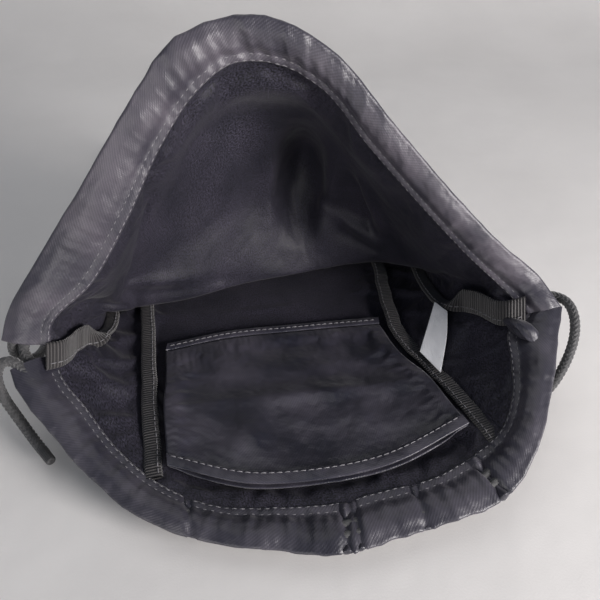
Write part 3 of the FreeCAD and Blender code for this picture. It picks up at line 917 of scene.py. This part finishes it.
def front_panel_cloth(mouth_row):
    """The middle of the front, lying inside up on the floor."""
    grid = smooth_sheet([mouth_row, *FRONT_PANEL[1:]])
    grid = folded(grid, FRONT_FOLDS)
    grid[..., 2] = np.maximum(grid[..., 2], FLOOR)
    piece = grid_piece("front_panel_cloth", grid, [LINING, SHELL])
    crumple(piece, sewn_borders(grid, 12), 0.05, 3)
    thicken(piece)
    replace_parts(piece, "front_panel")
    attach(piece, "root")


def side_panel_cloth(side, front_seam, side_seam, mouth_row, seed):
    """One of the two strips between the front panel and the back."""
    rows = [mouth_row]
    for a, b in zip(np.array(front_seam, float)[1:], np.array(side_seam, float)[-5:]):
        rows.append([(a + (b - a) * share).tolist() for share in (0.0, 0.33, 0.67, 1.0)])
    grid = smooth_sheet(rows)
    y, width = grid[..., 1], arc_lengths(grid[len(grid) // 3])[None, :]
    middle = np.sin(math.pi * width / width.max())
    grid[..., 2] += 1.6 * middle * ripples(y, width, seed, (24.0, 37.0), 0.05) * ease((y + 130) / 30)
    grid[..., 2] = np.maximum(grid[..., 2], FLOOR)
    name = f"front_side_panel_{side}"
    piece = grid_piece(name + "_cloth", grid, [SHELL, LINING] if side == "left" else [LINING, SHELL])
    crumple(piece, sewn_borders(grid, 9), 0.06, 3)
    thicken(piece)
    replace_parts(piece, name)
    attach(piece, "root")


# --- Bindings ---

FACING_MOUTH = np.array([0.0, -0.64, -0.77])      # down the face that a binding shows at a corner
TAPE_LIFT = 2.6           # height of a binding over its seam
TAPE_CLOSING = 14         # length over which a spread binding folds up
TAPE_STITCHES = 0.78      # place of the stitches, as a share of the width


def seam_binding(name, seam, inward, end, raised=0.0, shown=0.0):
    """The ribbed tape folded over a seam as far as end before its end, stitched near its free edge.

    Its first millimetres, as many as shown, are spread open towards the mouth, with the top edge raised.
    """
    line = smooth_line(np.array(seam, float), 400)
    along = arc_lengths(line)
    line = smooth_line(line[along <= along[-1] - end], int((along[-1] - end) / TAPE_STEP))
    place, still = arc_lengths(line), np.zeros(len(line))
    line[:, 2] += TAPE_LIFT
    tangent = unit(np.gradient(line, axis=0))
    side = unit(np.cross((0, 0, 1), tangent)) * -inward
    spread = (1 - ease((place - shown) / TAPE_CLOSING))[:, None] if shown else still[:, None]
    line -= FACING_MOUTH * (raised * spread)
    side = unit(side * (1 - spread) + FACING_MOUTH * spread) * (1 + 0.6 * spread)
    up = unit(np.cross(side, tangent)) * inward
    sway = 0.5 * ripples(place, still, len(name), (23.0, 41.0), 0)
    bulge = 0.6 + 0.5 * ripples(place, still, 5, (17.0, 31.0), 0)
    line = line + side * sway[:, None] + up * bulge[:, None]
    line[:, 2] = np.maximum(line[:, 2], FLOOR + 1.2)
    outline = oval(TAPE_WIDTH, TAPE_THICKNESS)
    piece = swept(name + "_ribbed", line, side, up, outline, [TAPE], "root")
    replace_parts(piece, name)
    row = line + side * (TAPE_WIDTH * TAPE_STITCHES) + up * (TAPE_THICKNESS / 2)
    stitches(name + "_stitches", row, up, "root")


def add_bindings():
    """The tapes of the four seams and of the closed end, and the looks of its corner loops."""
    seam_binding("front_seam_tape_left", FRONT_SEAM_LEFT, 1, 14)
    seam_binding("front_seam_tape_right", FRONT_SEAM_RIGHT, -1, 14)
    seam_binding("side_seam_tape_left", SIDE_SEAM_LEFT, 1, 70, 7, 32)
    seam_binding("side_seam_tape_right", SIDE_SEAM_RIGHT, -1, 70, 9.5, 40)
    line = smooth_line(BOTTOM_SEAM, 280)
    side, up = np.array([[0, 1.0, 0]]), np.array([[0, 0, 1.0]])
    outline = [(a - TAPE_WIDTH / 2, b) for a, b in oval(TAPE_WIDTH, BOTTOM_THICKNESS)]
    piece = swept("bottom_seam_tape_ribbed", line, side, up, outline, [TAPE], "root")
    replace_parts(piece, "bottom_seam_tape")
    stitches("bottom_seam_stitches", line + up * (BOTTOM_THICKNESS / 2), np.repeat(up, len(line), axis=0),
             "root")
    for side_name in ("left", "right"):
        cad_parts[f"bottom_corner_loop_{side_name}"].material_slots[0].material = TAPE


def corner_tuck():
    """The spare end of the front hem, rolled into the right corner below its binding."""
    line = smooth_line(CORNER_TUCK, 48)
    sides, ups = steady_frames(line)
    share = np.linspace(0, 1, len(line))[:, None]
    angle = angles_round(28)[None, :]
    bulge = 5.6 * np.sin(math.pi * (0.04 + 0.92 * share)) ** 0.6
    bulge = bulge * (1 + 0.13 * np.cos(3 * angle + 6 * share) + 0.06 * np.cos(8 * angle - 11 * share))
    ring = sides[:, None] * np.cos(angle)[..., None] + 0.7 * ups[:, None] * np.sin(angle)[..., None]
    # The tuck takes the front hem's darker colours, which are painted shade.
    piece = grid_piece("corner_tuck", line[:, None] + ring * bulge[..., None], [SHADED_FRONT_HEM], around=True)
    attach(piece, "root")


# --- Pocket and label ---

POCKET_HEM = (6.5, 1.3)   # width and thickness
POCKET_SEAM = (5.5, 1.5)


def pocket_cloth():
    """The slip pocket with the hem along its opening and its seam at the other side."""
    grid = smooth_sheet(POCKET, POCKET_STEP)
    grid = folded(grid, POCKET_FOLDS)
    piece = grid_piece("pocket_cloth", grid, [SHADED_POCKET_SATIN, LINING])
    crumple(piece, sewn_borders(grid, 9, loose=("mouth",)), 0.05, 2.5)
    thicken(piece)
    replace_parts(piece, "pocket_front", "pocket_rear")
    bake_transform(piece)

    edge = smooth_line(POCKET[0], 150)
    behind = smooth_line(POCKET[1], 150)
    side = unit(behind - edge)
    tangent = unit(np.gradient(edge, axis=0))
    up = unit(np.cross(tangent, side))
    line = edge + up * 0.75
    hem = swept("pocket_hem_cloth", line, side, up, oval(*POCKET_HEM), [SHADED_POCKET_SATIN],
                "pocket_flap")
    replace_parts(hem, "pocket_hem")
    stitches("pocket_hem_stitches", line + side * 5.2 + up * 0.65, up, "pocket_flap")

    edge = smooth_line(POCKET[-1], 120) + np.array([0, 0.8, 0.2])
    up = np.array([[0, 0, 1.0]])
    seam = swept("pocket_bottom_seam_cloth", edge, np.array([[0, 1.0, 0]]), up, oval(*POCKET_SEAM),
                 [SHADED_POCKET_SATIN], "root")
    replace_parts(seam, "pocket_bottom_seam")
    stitches("pocket_bottom_stitches", edge + np.array([0, 2.6, 0.8]), np.repeat(up, 120, axis=0),
             "root")


def care_label():
    """A satin ribbon with a slight wave and nothing printed on it."""
    grid = smooth_sheet(CARE_LABEL, LABEL_STEP)
    length = arc_lengths(grid[:, 0])[:, None]
    grid[..., 2] += 0.5 * np.sin(length / length.max() * 5.0)
    piece = grid_piece("care_label_ribbon", grid, [LABEL])
    thicken(piece, RIBBON)
    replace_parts(piece, "care_label")
    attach(piece, "label")


# --- Stage ---

DAYLIGHT = (0.60, 0.76, 1.0, 1)
DAYLIGHT_STRENGTH = 0.15
# Name, place and turn in the frame (metres, degrees), size, power and colour
LAMPS = (("lamp_above", (-0.15, 0.30, 1.2), (-14, -7, 0), 1.0, 2.6, (1.0, 0.96, 0.92)),
         ("lamp_front", (0.72, -0.58, 0.31), (75, 0, 52), 0.36, 12.0, (1.0, 0.96, 0.95)),
         ("lamp_left", (-0.35, -0.85, 0.20), (82, 0, -23), 0.36, 1.8, (1.0, 0.97, 0.95)))


def add_stage():
    """A pale cloth that runs back and up behind the bag, lit by a low lamp at the front right.

    Weak lamps above and at the front left and a blue daylight soften the shadows.
    """
    profile = [(-900, 0), (350, 0), (480, 6), (600, 45), (680, 140), (700, 300), (705, 900)]
    rows = [[(x, y, z - TO_FRAME[2]) for x in (-1500, -500, 500, 1500)] for y, z in profile]
    floor = grid_piece("floor_cloth", smooth_sheet(rows, 40), [table_cloth()])
    world = bpy.data.worlds.new("soft_room")
    world.use_nodes = True
    set_inputs(world.node_tree.nodes["Background"], {"Color": DAYLIGHT, "Strength": DAYLIGHT_STRENGTH})
    bpy.context.scene.world = world
    bpy.context.scene.view_settings.view_transform = "Standard"
    for name, place, turn, size, power, colour in LAMPS:
        data = bpy.data.lights.new(name, "AREA")
        data.size = size
        data.energy = power
        data.color = colour
        lamp = add_object(name, data)
        lamp.location = place
        lamp.rotation_euler = [math.radians(angle) for angle in turn]


def build():
    add_camera()
    add_cords()
    casing_cloth("front_casing", SHADED_FRONT_HEM, FRONT_MOUTH_EDGE, FRONT_STITCH_LINE, "root", 3,
                 [(0, 0.6), (0.2, 0.9), (0.4, 0.8), (0.6, 1.3), (0.75, 1.5), (1, 0.8)],
                 [(28, 2.4, 1.9, 8), (33, 2.0, 1.5, 6), (-42, 1.3, 2.2, -6), (95, 3.4, 2.2, 5),
                  (62, 1.4, 2.0, 9)])
    casing_cloth("back_casing", HEM, BACK_MOUTH_EDGE, BACK_STITCH_LINE, "back_hem", 11,
                 [(0, 0.35), (0.28, 0.35), (0.4, 1.0), (0.5, 1.2), (0.58, 0.7), (0.7, 0.35), (1, 0.4)])
    cased_cords("front_casing", FRONT_MOUTH_EDGE, FRONT_STITCH_LINE, "root")
    cased_cords("back_casing", BACK_MOUTH_EDGE, BACK_STITCH_LINE, "back_hem")
    back_panel_cloth()
    mouth = towards(FRONT_STITCH_LINE, FRONT_MOUTH_EDGE, UNDER_HEM)
    front_panel_cloth(mouth[4:12])
    side_panel_cloth("left", FRONT_SEAM_LEFT, SIDE_SEAM_LEFT, mouth[4::-1], 41)
    side_panel_cloth("right", FRONT_SEAM_RIGHT, SIDE_SEAM_RIGHT, mouth[11:], 43)
    add_bindings()
    corner_tuck()
    pocket_cloth()
    care_label()
    add_stage()


build()
